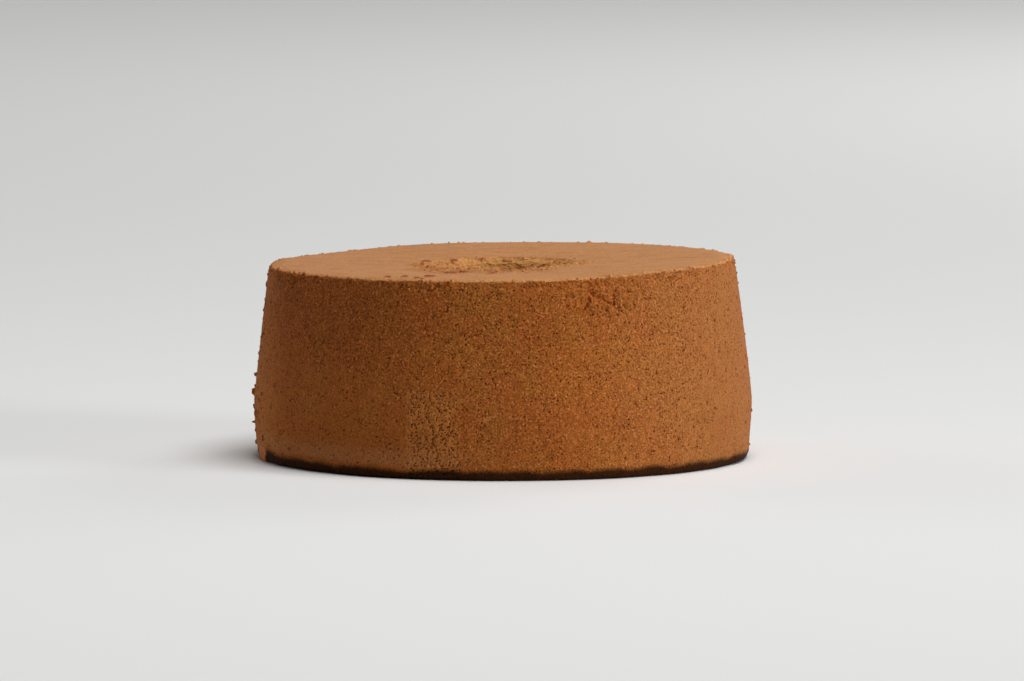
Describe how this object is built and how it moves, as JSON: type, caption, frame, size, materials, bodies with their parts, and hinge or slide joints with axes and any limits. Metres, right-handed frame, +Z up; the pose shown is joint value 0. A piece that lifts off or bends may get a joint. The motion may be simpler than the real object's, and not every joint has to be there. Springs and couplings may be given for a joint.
{
  "type": "angel food cake",
  "caption": "Whole ring-shaped foam cake turned out of a tube pan: flat browned top, side widening to a rounded foot, torn crumb round a hole that goes right through.",
  "frame": {"origin": "on the resting face, at the centre of the cake's bounding box", "axes": "+Z up out of the flat top, along the hole; -Y is the front, with the coarse patch; +X is the side where the top stands highest"},
  "size_m": [0.2538, 0.253, 0.1029],
  "materials": {
    "crust": "matte"
  },
  "bodies": {
    "root": {"cake": "crust"}
  },
  "joints": []
}
